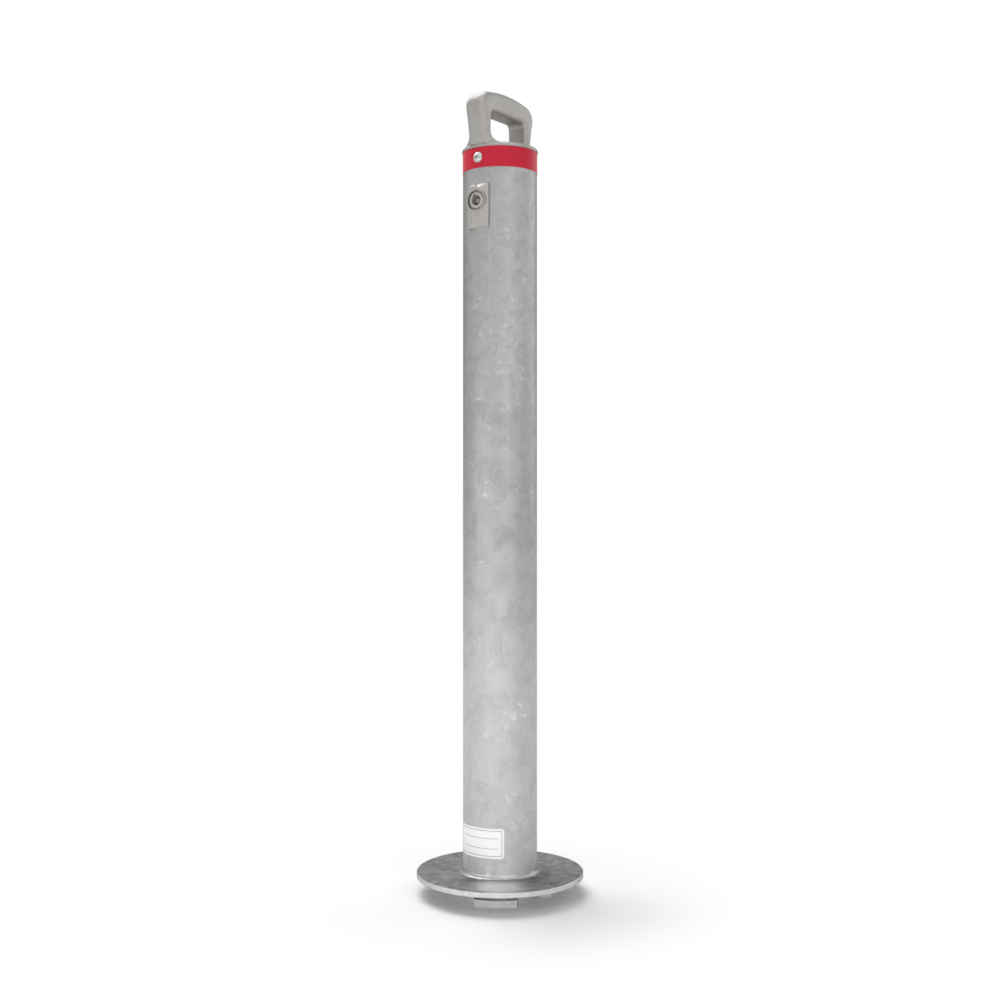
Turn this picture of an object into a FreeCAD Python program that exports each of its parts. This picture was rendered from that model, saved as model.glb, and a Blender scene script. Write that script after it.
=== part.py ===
import FreeCAD, Part
import math
import os
import re
import Sketcher

# A surface-mounted removable bollard, in millimetres. It stands on its bayonet foot: the origin is on
# the tube's axis at the ground, +Z is up, and the lock looks out of the front, along -Y. A key turns a
# cam near the top of the tube, the cam lifts a long rod, and the rod draws the locking plunger up into
# the foot. Inside the lock a "reach" is a distance from the tube's axis towards the front.

Vector = FreeCAD.Vector
UPRIGHT = FreeCAD.Rotation()
TO_FRONT = FreeCAD.Rotation(Vector(1, 0, 0), 90)
TO_REAR = FreeCAD.Rotation(Vector(1, 0, 0), -90)
TO_SIDE = FreeCAD.Rotation(Vector(0, 1, 0), 90)

# Driving sizes. A turn is in degrees, from the front towards +X.
SIZES = {
    "tube_diameter": "88.9",
    "tube_wall": "4",
    "tube_length": "859.6",
    "flange_diameter": "200",
    "flange_thickness": "6",
    "flange_edge_bevel": "0.6",
    "foot_height": "21",
    "weld_leg": "5",
    "spigot_diameter": "101.6",
    "spigot_wall": "5",
    "bayonet_thickness": "8",
    "bayonet_hole_diameter": "84",
    "lug_reach": "64.5",
    "lug_width": "50.5",
    "first_lug_turn": "30.5",
    "second_lug_turn": "130",
    "third_lug_turn": "260",
    "slip_gap": "0.25",
    "seat_gap": "0.05",
    "running_gap": "0.1",
    "rim_overhang": "1.05",
    "rim_height": "4.3",
    "rim_round": "1.5",
    "skirt_length": "28",
    "skirt_wall": "4.5",
    "handle_height": "65",
    "handle_length": "112.4",
    "handle_thickness": "28",
    "crown_radius": "198",
    "shoulder_round": "16.5",
    "handle_edge_round": "6.4",
    "finger_gap_height": "38.5",
    "finger_gap_length": "68.8",
    "finger_gap_corner": "6",
    "finger_gap_edge_round": "4",
    "leg_root_round": "10",
    "tape_height": "24.5",
    "tape_thickness": "0.25",
    "cap_screw_drop": "12.1",
    "cap_screw_size": "6",
    "cap_screw_length": "12",
    "cap_screw_head_diameter": "12.5",
    "cap_screw_head_rim": "0.6",
    "cap_screw_head_dome": "2.6",
    "cap_screw_socket": "4",
    "cap_screw_socket_depth": "1.8",
    "label_width": "65",
    "label_height": "35",
    "label_thickness": "0.2",
    "label_corner": "3",
    "label_rise": "24.6",
    "plate_width": "30.1",
    "plate_height": "51.5",
    "plate_drop": "69.15",
    "plate_front_width": "11.5",
    "plate_end_bevel": "4.7",
    "plate_edge_stand": "0.2",
    "plate_rise": "4",
    "boss_diameter": "26.4",
    "boss_rise": "0.8",
    "boss_recess_depth": "4.2",
    "boss_recess_gap": "2",
    "boss_shoulder_bevel": "3.4",
    "boss_shoulder_round": "8.5",
    "lock_drop": "63.2",
    "housing_head_diameter": "19.6",
    "housing_head_length": "3.3",
    "housing_head_bevel": "0.7",
    "housing_body_diameter": "17.6",
    "housing_tail": "2.45",
    "key_hole_diameter": "12.5",
    "key_notch_width": "2.2",
    "key_notch_depth": "1.2",
    "key_notch_turn": "20",
    "barrel_diameter": "13.9",
    "keyway_diameter": "9.8",
    "keyway_depth": "5",
    "key_post_diameter": "6",
    "barrel_tail_square": "8",
    "saddle_washer_diameter": "30",
    "saddle_washer_thickness": "5",
    "lock_nut_width": "24",
    "lock_nut_thickness": "6",
    "cam_thickness": "4",
    "cam_play": "0.3",
    "cam_hub_margin": "1.2",
    "cam_nose_round": "3",
    "cam_screw_size": "4",
    "cam_screw_length": "10",
    "cam_screw_head_diameter": "9",
    "cam_screw_head_height": "1.8",
    "plate_screw_offset": "18.5",
    "plate_screw_size": "4",
    "plate_screw_head_diameter": "7.5",
    "plate_screw_head_height": "2.5",
    "plate_screw_cover": "1.6",
    "lift_travel": "12",
    "rod_diameter": "10",
    "rod_screw_head_gap": "0.9",
    "stud_diameter": "8",
    "stud_nut_width": "13",
    "stud_nut_height": "6.5",
    "stud_end": "1.5",
    "follower_width": "30",
    "follower_thickness": "5",
    "follower_tail": "8",
    "follower_front_gap": "1.4",
    "guide_thickness": "6",
    "upper_guide_drop": "140.6",
    "lower_guide_rise": "273",
    "spring_length": "70",
    "spring_turns": "9",
    "spring_wire": "2",
    "spring_diameter": "17",
    "collar_diameter": "22",
    "collar_height": "10",
    "collar_pin_size": "3",
    "plunger_diameter": "16",
    "plunger_bevel": "1.5",
    "plunger_clearance": "2.5",
    "plunger_head_diameter": "22",
    "plunger_head_height": "16",
    "plunger_socket_depth": "12",
    "plunger_pin_size": "4",
    "bush_wall": "3.9",
    "bush_collar_diameter": "32",
    "bush_collar_height": "4",
    "bush_drop": "9",
}

# Sizes worked out from the ones above.
DERIVED = {
    "tube_radius": "=tube_diameter / 2",
    "tube_bore": "=tube_radius - tube_wall",
    "flange_top": "=foot_height + flange_thickness",
    "tube_top": "=flange_top + tube_length",
    "film_radius": "=tube_radius + seat_gap",
    "tape_radius": "=film_radius + tape_thickness",
    "rim_radius": "=tube_radius + rim_overhang",
    "rim_top": "=tube_top + rim_height",
    "skirt_radius": "=tube_bore - slip_gap",
    "gap_top": "=rim_top + finger_gap_height",
    "handle_top": "=rim_top + handle_height",
    "crown_sagitta": "=crown_radius - sqrt(crown_radius^2 - handle_length^2 / 4)",
    "shoulder_height": "=handle_top - crown_sagitta",
    "leg_foot": "=rim_radius - finger_gap_length / 2",
    "outer_round": "=min(handle_edge_round, 0.58 * leg_foot)",
    "inner_round": "=min(finger_gap_edge_round, 0.37 * leg_foot)",
    "root_top": "=rim_top + leg_root_round + 1",
    "root_reach": "=rim_radius + (handle_length / 2 - rim_radius)"
                  " * (root_top - tube_top) / (shoulder_height - tube_top)",
    "cap_screw_height": "=tube_top - cap_screw_drop",
    "lock_height": "=tube_top - lock_drop",
    "plate_middle": "=tube_top - plate_drop",
    "plate_edge": "=tube_radius + plate_edge_stand",
    "plate_front": "=plate_edge + plate_rise",
    "boss_front": "=plate_front + boss_rise",
    "recess_radius": "=housing_head_diameter / 2 + boss_recess_gap",
    "recess_floor": "=boss_front - boss_recess_depth",
    "housing_front": "=recess_floor + housing_head_length",
    "washer_flat": "=tube_bore - seat_gap - saddle_washer_thickness",
    "nut_rear": "=washer_flat - lock_nut_thickness",
    "housing_rear": "=nut_rear - housing_tail",
    "barrel_front": "=recess_floor - running_gap",
    "cam_front": "=housing_rear - cam_play",
    "cam_rear": "=cam_front - cam_thickness",
    "cam_base": "=housing_body_diameter / 2 + cam_hub_margin",
    "rod_radius": "=rod_diameter / 2",
    "rod_line": "=cam_rear - cam_screw_head_height - rod_screw_head_gap - rod_radius",
    "plate_screw_height": "=plate_middle - plate_screw_offset",
    "plate_screw_seat": "=sqrt(tube_bore^2 - plate_screw_head_diameter^2 / 4)",
    "plate_screw_tip": "=plate_front - plate_screw_cover",
    "follower_base": "=lock_height + cam_base + cam_play",
    "follower_top": "=follower_base + follower_thickness",
    "follower_front": "=nut_rear - follower_front_gap",
    "follower_rear": "=rod_line - follower_tail",
    "stud_top": "=follower_top + 2 * stud_nut_height + stud_end",
    "upper_guide_base": "=tube_top - upper_guide_drop - guide_thickness",
    "lower_guide_base": "=flange_top + lower_guide_rise",
    "collar_top": "=upper_guide_base - spring_length",
    "collar_base": "=collar_top - collar_height",
    "plunger_radius": "=plunger_diameter / 2",
    "bush_bore": "=plunger_radius + running_gap",
    "bush_radius": "=bush_bore + bush_wall",
    "bush_base": "=foot_height - bush_drop",
    "bush_top": "=flange_top + bush_collar_height",
    "plunger_top": "=bush_top + plunger_head_height",
    "rod_base": "=plunger_top - plunger_socket_depth",
    "plunger_pin_height": "=plunger_top - plunger_socket_depth / 2",
    "label_base": "=flange_top + label_rise",
    "label_half_turn": "=label_width / tube_radius * 90 / pi",
}

doc = FreeCAD.newDocument("Bollard")
sheet = doc.addObject("Spreadsheet::Sheet", "Sizes")
for row, (name, text) in enumerate([*SIZES.items(), *DERIVED.items()], start=1):
    sheet.set("A%d" % row, name)
    sheet.set("B%d" % row, text)
    sheet.setAlias("B%d" % row, name)
doc.recompute()


def number(name):
    """The value of one named size."""
    return float(sheet.get(name))


def formula(words):
    """Size names in a formula, led to the sheet's cells."""
    def lead(match):
        word = match.group()
        return "Sizes." + word if word in SIZES or word in DERIVED else word
    return re.sub(r"[A-Za-z_]+", lead, words)


def bind(thing, **sizes):
    """Ties each property to a formula, with a double underscore for a dot in the property's name."""
    for name, words in sizes.items():
        thing.setExpression(name.replace("__", "."), formula(words))
    return thing


def place(thing, x="0", y="0", z="0", turn=UPRIGHT):
    """Turns a finished piece and binds where it stands."""
    thing.Placement = FreeCAD.Placement(Vector(), turn)
    return bind(thing, Placement__Base__x=x, Placement__Base__y=y, Placement__Base__z=z)


def rod(name, radius, height, **where):
    """A plain cylinder, from its foot along its own axis."""
    thing = bind(doc.addObject("Part::Cylinder", name), Radius=radius, Height=height)
    return place(thing, **where)


def block(name, length, width, height, **where):
    """A box centred on its own axis, with its foot at its place."""
    thing = bind(doc.addObject("Part::Box", name), Length=length, Width=width, Height=height)
    middle = {"x": where.pop("x", "0") + " - (%s) / 2" % length}
    middle["y"] = where.pop("y", "0") + " - (%s) / 2" % width
    return place(thing, **middle, **where)


def hexagon(name, width, height, **where):
    """A six-sided prism of a width across its flats."""
    thing = doc.addObject("Part::Prism", name)
    thing.Polygon = 6
    bind(thing, Circumradius="(%s) / sqrt(3)" % width, Height=height)
    return place(thing, **where)


def cut(name, solid, *tools):
    """A solid less one tool after another."""
    for index, tool in enumerate(tools):
        last = index == len(tools) - 1
        result = doc.addObject("Part::Cut", name if last else "%s_step_%d" % (name, index + 1))
        result.Base = solid
        result.Tool = tool
        solid = result
    return solid


def fuse(name, *solids):
    """Several solids made one."""
    result = doc.addObject("Part::MultiFuse", name)
    result.Shapes = list(solids)
    result.Refine = True
    return result


def common(name, *solids):
    """What several solids share."""
    result = doc.addObject("Part::MultiCommon", name)
    result.Shapes = list(solids)
    return result


def compound(name, *solids):
    """Like pieces kept together, each a solid of its own."""
    result = doc.addObject("Part::Compound", name)
    result.Links = list(solids)
    return result


def new_sketch(body, name, plane, height="0"):
    """A sketch on one of its body's origin planes, raised off it by a height."""
    sketch = body.newObject("Sketcher::SketchObject", name)
    sketch.AttachmentSupport = [(next(f for f in body.Origin.OriginFeatures if f.Role == plane), "")]
    sketch.MapMode = "FlatFace"
    return bind(sketch, AttachmentOffset__Base__z=height)


def pin_point(sketch, edge, end, x, y, drawn=Vector(1, 1, 0)):
    """Holds one end of an edge at a place given by two formulas, from where it is drawn at first."""
    for kind, words, start in (("DistanceX", x, drawn.x), ("DistanceY", y, drawn.y)):
        index = sketch.addConstraint(Sketcher.Constraint(kind, -1, 1, edge, end, start))
        sketch.setExpression("Constraints[%d]" % index, formula(words))


def outline(sketch, corners):
    """A closed outline of straight edges through corners given by formulas."""
    count = len(corners)
    first = sketch.GeometryCount
    step = 2 * math.pi / count
    ring = [Vector(30 + 9 * math.cos(step * i), 9 * math.sin(step * i), 0) for i in range(count)]
    for i in range(count):
        sketch.addGeometry(Part.LineSegment(ring[i], ring[(i + 1) % count]), False)
    for i in range(count):
        after = first + (i + 1) % count
        sketch.addConstraint(Sketcher.Constraint("Coincident", first + i, 2, after, 1))
    for i, (x, y) in enumerate(corners):
        pin_point(sketch, first + i, 1, x, y)
    return sketch


def oblong(sketch, left, right, low, high):
    """A rectangle between two widths and two heights."""
    return outline(sketch, [(left, low), (right, low), (right, high), (left, high)])


def circle(sketch, x, y, radius):
    """A full circle with its middle at a place given by formulas."""
    edge = sketch.addGeometry(Part.Circle(Vector(1, 1, 0), Vector(0, 0, 1), 5), False)
    pin_point(sketch, edge, 3, x, y)
    index = sketch.addConstraint(Sketcher.Constraint("Radius", edge, 5.0))
    sketch.setExpression("Constraints[%d]" % index, formula(radius))
    return sketch


def feature(body, kind, name, sketch, **sizes):
    """A padded, pocketed or revolved sketch."""
    thing = body.newObject("PartDesign::" + kind, name)
    thing.Profile = sketch
    if kind in ("Revolution", "Groove"):
        thing.ReferenceAxis = (sketch, ["V_Axis"])
        thing.Angle = 360
    bind(thing, **sizes)
    doc.recompute()
    return thing


def turned(name, corners):
    """A body of revolution about its own upright axis, from an outline of radius and height."""
    body = doc.addObject("PartDesign::Body", name)
    sketch = outline(new_sketch(body, name + "_outline", "XZ_Plane"), corners)
    feature(body, "Revolution", name + "_turning", sketch)
    return body


def edges_like(solid, wanted):
    """The names of a feature's edges whose ends and middle all satisfy a test."""
    names = []
    for index, edge in enumerate(solid.Shape.Edges, start=1):
        middle = edge.valueAt((edge.FirstParameter + edge.LastParameter) / 2)
        if wanted([vertex.Point for vertex in edge.Vertexes], middle):
            names.append("Edge%d" % index)
    return names


def soften(body, kind, name, base, names, size):
    """A fillet or a chamfer on chosen edges of a body's last feature."""
    thing = body.newObject("PartDesign::" + kind, name)
    thing.Base = (base, names)
    bind(thing, **({"Radius": size} if kind == "Fillet" else {"Size": size}))
    doc.recompute()
    return thing


def near(one, other):
    return abs(one - other) < 0.001


SUBPARTS = []


def subpart(thing, label):
    """Counts a finished piece in under the name of its file."""
    thing.Label = label
    SUBPARTS.append(thing)
    return thing


def sleeve(name, outer, inner, height, **where):
    """A plain ring between two radii."""
    core = rod(name + "_core", inner, "(%s) + 2" % height, z="-1")
    return place(cut(name, rod(name + "_outside", outer, height), core), **where)


def bollard_tube():
    """The post: one length of round tube, drilled for the lock, its plate and the cap's screws."""
    wall = sleeve("post", "tube_radius", "tube_bore", "tube_length", z="flange_top")
    lock = rod("lock_way", "housing_body_diameter / 2 + slip_gap", "tube_diameter / 2",
               y="-tube_bore / 2", z="lock_height", turn=TO_FRONT)
    screw = rod("plate_screw_way", "plate_screw_size / 2 + slip_gap", "tube_diameter / 2",
                y="-tube_bore / 2", z="plate_screw_height", turn=TO_FRONT)
    cap = rod("cap_screw_way", "cap_screw_size / 2 + slip_gap", "2 * tube_diameter",
              y="tube_diameter", z="cap_screw_height", turn=TO_FRONT)
    return cut("tube_drilled", wall, lock, screw, cap)


def base_flange():
    """The round foot plate, with the plunger bush's hole towards the front."""
    body = doc.addObject("PartDesign::Body", "flange")
    disc = circle(new_sketch(body, "flange_disc", "XY_Plane"), "0", "0", "flange_diameter / 2")
    feature(body, "Pad", "flange_pad", disc, Length="flange_thickness")
    hole = circle(new_sketch(body, "flange_hole", "XY_Plane"), "0", "-rod_line", "bush_radius + seat_gap")
    pocket = feature(body, "Pocket", "flange_bush_hole", hole, Length="flange_thickness")
    pocket.Reversed = True
    doc.recompute()
    reach = number("flange_diameter") / 2
    rims = edges_like(pocket, lambda ends, middle: near(math.hypot(middle.x, middle.y), reach)
                      and near(ends[0].z, ends[-1].z))
    soften(body, "Chamfer", "flange_bevel", pocket, rims, "flange_edge_bevel")
    return place(body, z="foot_height")


def foot_weld_bead():
    """The hollow fillet weld round the tube's foot."""
    ring = sleeve("bead_ring", "tube_radius + weld_leg", "tube_radius", "weld_leg")
    scoop = doc.addObject("Part::Torus", "bead_scoop")
    bind(scoop, Radius1="tube_radius + weld_leg", Radius2="weld_leg")
    return place(cut("bead", ring, place(scoop, z="weld_leg")), z="flange_top")


def spigot_ring():
    """The short pipe that holds the flange over the bayonet ring."""
    return sleeve("spigot", "spigot_diameter / 2", "spigot_diameter / 2 - spigot_wall",
                  "foot_height - bayonet_thickness", z="bayonet_thickness")


def lug(name, turn):
    """One straight-sided lug with a round end, turned from the front."""
    bar = bind(doc.addObject("Part::Box", name + "_bar"), Length="lug_reach + lug_width",
               Width="lug_width", Height="bayonet_thickness")
    swing = "(%s - 90) * 1deg" % turn
    place(bar, x="lug_width / 2 * sin(%s)" % swing, y="-lug_width / 2 * cos(%s)" % swing)
    bind(bar, Placement__Rotation__Angle="%s - 90" % turn)
    return bar


def bayonet_ring():
    """The flat ring at the ground, with three unevenly spaced lugs so that it enters one way only."""
    bars = [lug(name, turn) for name, turn in (("first", "first_lug_turn"),
            ("second", "second_lug_turn"), ("third", "third_lug_turn"))]
    reach = rod("lug_reach_disc", "lug_reach", "bayonet_thickness")
    lugs = common("lugs", fuse("lug_bars", *bars), reach)
    ring = fuse("bayonet_blank", rod("bayonet_disc", "spigot_diameter / 2", "bayonet_thickness"), lugs)
    hole = rod("bayonet_hole", "bayonet_hole_diameter / 2", "bayonet_thickness + 2", z="-1")
    return cut("bayonet", ring, hole)


def handle_loop():
    """The upright loop: two legs and a crowned grip, all edges rounded."""
    body = doc.addObject("PartDesign::Body", "loop")
    sketch = new_sketch(body, "loop_outline", "YZ_Plane")
    half = number("handle_length") / 2
    foot = number("rim_radius")
    low, high = number("tube_top"), number("shoulder_height")
    corners = [Vector(-foot, low, 0), Vector(foot, low, 0), Vector(half, high, 0), Vector(-half, high, 0)]
    crown = Part.Arc(corners[2], Vector(0, number("handle_top"), 0), corners[3])
    for edge in (Part.LineSegment(corners[0], corners[1]), Part.LineSegment(corners[1], corners[2]),
                 crown, Part.LineSegment(corners[3], corners[0])):
        sketch.addGeometry(edge, False)
    for edge, end, after, start in ((0, 2, 1, 1), (1, 2, 2, 1), (2, 2, 3, 1), (3, 2, 0, 1)):
        sketch.addConstraint(Sketcher.Constraint("Coincident", edge, end, after, start))
    pin_point(sketch, 0, 1, "-rim_radius", "tube_top", corners[0])
    pin_point(sketch, 0, 2, "rim_radius", "tube_top", corners[1])
    pin_point(sketch, 1, 2, "handle_length / 2", "shoulder_height", corners[2])
    pin_point(sketch, 3, 1, "-handle_length / 2", "shoulder_height", corners[3])
    index = sketch.addConstraint(Sketcher.Constraint("Radius", 2, number("crown_radius")))
    sketch.setExpression("Constraints[%d]" % index, formula("crown_radius"))
    pad = feature(body, "Pad", "loop_pad", sketch, Length="handle_thickness")
    pad.Midplane = True
    doc.recompute()
    shoulders = edges_like(pad, lambda ends, middle: near(middle.x, 0) and near(middle.z, high))
    blank = soften(body, "Fillet", "loop_shoulders", pad, shoulders, "shoulder_round")
    window = oblong(new_sketch(body, "finger_gap_outline", "YZ_Plane"), "-finger_gap_length / 2",
                    "finger_gap_length / 2", "tube_top", "gap_top")
    gap = feature(body, "Pocket", "finger_gap", window, Length="2 * handle_thickness")
    gap.Midplane = True
    doc.recompute()
    under = number("gap_top")
    inner = number("finger_gap_length") / 2
    top_corners = edges_like(gap, lambda ends, middle: near(middle.x, 0) and near(middle.z, under)
                             and near(abs(middle.y), inner))
    gap = soften(body, "Fillet", "finger_gap_corners", gap, top_corners, "finger_gap_corner")
    side = number("handle_thickness") / 2

    def on_side(ends, middle):
        return near(abs(middle.x), side) and all(near(abs(end.x), side) for end in ends)

    def inside(ends, middle):
        return abs(middle.y) < inner + 0.001 and middle.z < under + 0.001

    def low_end(ends, middle):
        return near(middle.z, low)

    outer_names = edges_like(gap, lambda ends, middle: on_side(ends, middle)
                             and not inside(ends, middle) and not low_end(ends, middle))
    outside = soften(body, "Fillet", "loop_outer_edges", gap, outer_names, "outer_round")
    inner_names = edges_like(outside, lambda ends, middle: on_side(ends, middle)
                             and inside(ends, middle) and not low_end(ends, middle))
    soften(body, "Fillet", "loop_inner_edges", outside, inner_names, "inner_round")
    return body


def leg_roots():
    """The hollow flares at the legs' feet, cut off at the rim's rounded edge. Each grows out of a post
    that has the leg's own faces and edge rounds."""
    body = doc.addObject("PartDesign::Body", "roots")
    ground = new_sketch(body, "root_ground", "XY_Plane", "tube_top")
    field = circle(ground, "0", "0", "2 * rim_radius")
    feature(body, "Pad", "root_field", field, Length="rim_height")
    legs = new_sketch(body, "root_legs", "YZ_Plane")
    for side in ("", "-"):
        outline(legs, [(side + "finger_gap_length / 2", "tube_top"), (side + "rim_radius", "tube_top"),
                       (side + "root_reach", "root_top"), (side + "finger_gap_length / 2", "root_top")])
    pad = feature(body, "Pad", "root_posts", legs, Length="handle_thickness")
    pad.Midplane = True
    doc.recompute()
    inner = number("finger_gap_length") / 2
    side = number("handle_thickness") / 2
    top = number("rim_top")

    def upright(ends, middle):
        return near(abs(middle.x), side) and middle.z > top + 0.001 and not near(ends[0].z, ends[-1].z)

    outer_names = edges_like(pad, lambda ends, middle: upright(ends, middle)
                             and not near(abs(middle.y), inner))
    pad = soften(body, "Fillet", "root_outer_corners", pad, outer_names, "outer_round")
    inner_names = edges_like(pad, lambda ends, middle: upright(ends, middle) and near(abs(middle.y), inner))
    pad = soften(body, "Fillet", "root_inner_corners", pad, inner_names, "inner_round")
    reach = 2 * number("rim_radius")
    chain = edges_like(pad, lambda ends, middle: near(middle.z, top) and near(ends[0].z, top)
                       and math.hypot(middle.x, middle.y) < reach - 1)
    soften(body, "Fillet", "root_flares", pad, chain, "leg_root_round")
    edge = rod("root_limit", "rim_radius - rim_round", "leg_root_round + 1", z="rim_top")
    return common("root_flares_trimmed", body, edge)


def handle_cap():
    """The cast cap: a skirt inside the tube, a rounded rim on its end and the lifting loop."""
    cap = turned("cap", [
        ("0", "tube_top"), ("skirt_radius - skirt_wall", "tube_top"),
        ("skirt_radius - skirt_wall", "tube_top - skirt_length"), ("skirt_radius", "tube_top - skirt_length"),
        ("skirt_radius", "tube_top"), ("rim_radius", "tube_top"), ("rim_radius", "rim_top"),
        ("0", "rim_top")])
    top = number("rim_top")
    rim = edges_like(cap.Tip, lambda ends, middle: near(middle.z, top)
                     and near(math.hypot(middle.x, middle.y), number("rim_radius")))
    soften(cap, "Fillet", "rim_edge", cap.Tip, rim, "rim_round")
    casting = fuse("casting", cap, handle_loop(), leg_roots())
    screws = rod("cap_thread_way", "cap_screw_size / 2 + seat_gap", "2 * tube_diameter",
                 y="tube_diameter", z="cap_screw_height", turn=TO_FRONT)
    return cut("cap_drilled", casting, screws)


def reflective_band():
    """The wrap of tape right under the rim, holed for the two cap screws."""
    tape = sleeve("tape", "tape_radius", "film_radius", "tape_height", z="tube_top - tape_height")
    holes = rod("tape_holes", "cap_screw_size / 2 + slip_gap", "2 * tube_diameter",
                y="tube_diameter", z="cap_screw_height", turn=TO_FRONT)
    return cut("tape_holed", tape, holes)


def cap_screw(name, y, turn):
    """A domed socket screw whose head seats on the tape."""
    head = "cap_screw_head_diameter / 2"
    rise = "(cap_screw_head_rim + cap_screw_head_dome)"
    ball = "((%s)^2 + cap_screw_head_dome^2) / (2 * cap_screw_head_dome)" % head
    sphere = bind(doc.addObject("Part::Sphere", name + "_ball"), Radius=ball)
    place(sphere, z="%s - %s" % (rise, ball))
    dome = common(name + "_dome", rod(name + "_head", head, rise), sphere)
    shank = rod(name + "_shank", "cap_screw_size / 2", "cap_screw_length + cap_screw_head_rim",
                z="-cap_screw_length")
    socket = hexagon(name + "_socket", "cap_screw_socket", "cap_screw_socket_depth + 1",
                     z="%s - cap_screw_socket_depth" % rise)
    screw = cut(name, fuse(name + "_blank", dome, shank), socket)
    return place(screw, y=y, z="cap_screw_height", turn=turn)


def foot_label():
    """The plain label low on the front of the tube, curved with it and round at its corners."""
    body = doc.addObject("PartDesign::Body", "label_stamp")
    half = "tube_radius * sin(label_half_turn * 1deg)"
    sketch = oblong(new_sketch(body, "label_outline", "XZ_Plane"), "-" + half, half, "0", "label_height")
    pad = feature(body, "Pad", "label_pad", sketch, Length="2 * tube_diameter")
    corners = edges_like(pad, lambda ends, middle: near(ends[0].x, ends[-1].x)
                         and near(ends[0].z, ends[-1].z))
    soften(body, "Fillet", "label_corners", pad, corners, "label_corner")
    film = sleeve("label_film", "film_radius + label_thickness", "film_radius", "label_height")
    return place(common("label", film, body), z="label_base")


def hipped(body, name, low, high, base, front):
    """A ruled block between two rectangles, each given as left, right, low and high, at two levels."""
    bottom = oblong(new_sketch(body, name + "_base", "XY_Plane", low), *base)
    top = oblong(new_sketch(body, name + "_front", "XY_Plane", high), *front)
    hips = body.newObject("PartDesign::AdditiveLoft", name)
    hips.Profile = bottom
    hips.Sections = [top]
    hips.Ruled = True
    doc.recompute()
    return hips


def lock_escutcheon():
    """The cast lock plate: a hipped plate saddled on the tube, with a round boss about the lock. Beside
    the boss one upper corner swells out to a round shoulder."""
    rise = "lock_height - plate_middle"
    wide, tall = "plate_width / 2", "plate_height / 2"
    flat = "plate_height / 2 - plate_end_bevel"
    shoulder = doc.addObject("PartDesign::Body", "plate_shoulder")
    hipped(shoulder, "shoulder_hips", "plate_edge", "plate_front",
           ("-" + wide, "0", rise + " - boss_diameter / 4", tall),
           ("-(%s - boss_shoulder_bevel)" % wide, "0", rise, "%s - boss_shoulder_bevel" % tall))
    place(shoulder, z="plate_middle", turn=TO_FRONT)

    body = doc.addObject("PartDesign::Body", "plate")
    base = oblong(new_sketch(body, "plate_foot", "XY_Plane"), "-" + wide, wide, "-" + tall, tall)
    feature(body, "Pad", "plate_pad", base, Length="plate_edge")
    hipped(body, "plate_hips", "plate_edge", "plate_front", ("-" + wide, wide, "-" + tall, tall),
           ("-plate_front_width / 2", "plate_front_width / 2", "-(%s)" % flat, flat))
    round_boss = circle(new_sketch(body, "plate_boss", "XY_Plane"), "0", rise, "boss_diameter / 2")
    feature(body, "Pad", "boss_pad", round_boss, Length="boss_front")
    place(body, z="plate_middle", turn=TO_FRONT)

    reach = "boss_shoulder_round"
    middle = {"x": "-(plate_width / 2 - %s)" % reach, "z": "plate_middle + plate_height / 2 - " + reach,
              "turn": TO_FRONT}
    beyond = block("corner_block", reach + " + 1", "2 * boss_front", reach + " + 1",
                   x="-(plate_width - %s + 1) / 2" % reach, y="-boss_front", z=middle["z"])
    straight = rod("corner_straight", reach, "plate_edge + 1", y="1", **middle)
    coned = bind(doc.addObject("Part::Cone", "corner_coned"), Radius1=reach,
                 Radius2=reach + " - boss_shoulder_bevel", Height="plate_rise")
    place(coned, y="-plate_edge", **middle)
    proud = rod("corner_proud", reach + " - boss_shoulder_bevel", "boss_front", y="-plate_front", **middle)
    post = rod("plate_saddle", "tube_radius + seat_gap", "4 * plate_height",
               z="plate_middle - 2 * plate_height")
    thread = rod("plate_thread_way", "plate_screw_size / 2 + seat_gap", "plate_screw_tip + seat_gap",
                 z="plate_screw_height", turn=TO_FRONT)
    recess = rod("plate_recess", "recess_radius", "boss_recess_depth + 1", y="-recess_floor",
                 z="lock_height", turn=TO_FRONT)
    way = rod("plate_way", "housing_body_diameter / 2 + running_gap", "boss_front", z="lock_height",
              turn=TO_FRONT)
    blank = fuse("plate_blank", body, shoulder)
    corner = cut("corner_way", beyond, straight, coned, proud)
    return cut("plate_finished", blank, corner, post, thread, recess, way)


def plate_screw():
    """The screw that holds the plate's lower end from inside the tube."""
    head = "plate_screw_seat - plate_screw_head_height"
    shape = turned("plate_screw_turning", [
        ("0", head), ("plate_screw_head_diameter / 2", head),
        ("plate_screw_head_diameter / 2", "plate_screw_seat"), ("plate_screw_size / 2", "plate_screw_seat"),
        ("plate_screw_size / 2", "plate_screw_tip"), ("0", "plate_screw_tip")])
    return place(shape, z="plate_screw_height", turn=TO_FRONT)


def lock_housing():
    """The fixed lock case: a head in the boss, a threaded body and a bore for the barrel."""
    hole, body, head = "key_hole_diameter / 2", "housing_body_diameter / 2", "housing_head_diameter / 2"
    bore = "barrel_diameter / 2 + seat_gap"
    case = turned("housing_turning", [
        (bore, "housing_rear"), (body, "housing_rear"), (body, "recess_floor"), (head, "recess_floor"),
        (head, "housing_front - housing_head_bevel"), (head + " - housing_head_bevel", "housing_front"),
        (hole, "housing_front"), (hole, "recess_floor"), (bore, "recess_floor")])
    notch = bind(doc.addObject("Part::Box", "key_notch"), Length="key_notch_width",
                 Width="key_hole_diameter / 2 + key_notch_depth", Height="housing_head_length + 1")
    swing = "key_notch_turn * 1deg"
    place(notch, x="-key_notch_width / 2 * cos(%s)" % swing, y="-key_notch_width / 2 * sin(%s)" % swing,
          z="recess_floor")
    bind(notch, Placement__Rotation__Angle="key_notch_turn")
    return place(cut("housing", case, notch), z="lock_height", turn=TO_FRONT)


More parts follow.
